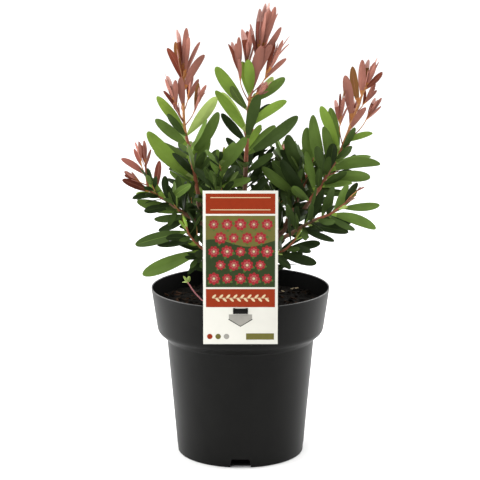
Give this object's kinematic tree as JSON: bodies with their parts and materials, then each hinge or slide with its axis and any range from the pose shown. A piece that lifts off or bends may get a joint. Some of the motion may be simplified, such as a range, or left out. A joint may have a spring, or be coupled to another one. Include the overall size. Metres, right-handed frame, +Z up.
{
  "type": "potted bottlebrush shrub",
  "caption": "Young bottlebrush shrub with long blunt leaves and red new tips on short boughs, in a round tapered nursery pot with a card label on its rim.",
  "frame": {"origin": "middle of the pot's flat underside, on its axis", "axes": "+Z up along the pot's axis and the plant's height, -Y towards the side of the rim that carries the label, +X to the right of somebody facing the label"},
  "size_m": [0.2864, 0.209, 0.5065],
  "materials": {
    "pot_plastic": "black, slightly worn, satin",
    "potting_mix": "dark bark and peat crumbs, matt",
    "label_card": "printed card, satin",
    "bark": "brown young bark, matt",
    "foliage": "green leaves with red new growth, satin"
  },
  "bodies": {
    "root": {"pot": "pot_plastic", "potting_mix": "potting_mix", "label": "label_card", "trunk": "bark", "bough_left_leader": "bark", "bough_centre_leader": "bark", "bough_right_leader": "bark", "bough_low_left": "bark", "bough_low_right": "bark", "bough_front_shoot": "bark", "bough_mid_right": "bark", "bough_back_left": "bark", "bough_back_right": "bark", "bough_back_centre": "bark", "left_leader": "foliage", "centre_leader": "foliage", "right_leader": "foliage", "low_left": "foliage", "low_right": "foliage", "front_shoot": "foliage", "mid_right": "foliage", "skirt_left": "foliage", "skirt_right": "foliage", "back_left": "foliage", "back_right": "foliage", "back_centre": "foliage", "back_low": "foliage"}
  },
  "joints": []
}
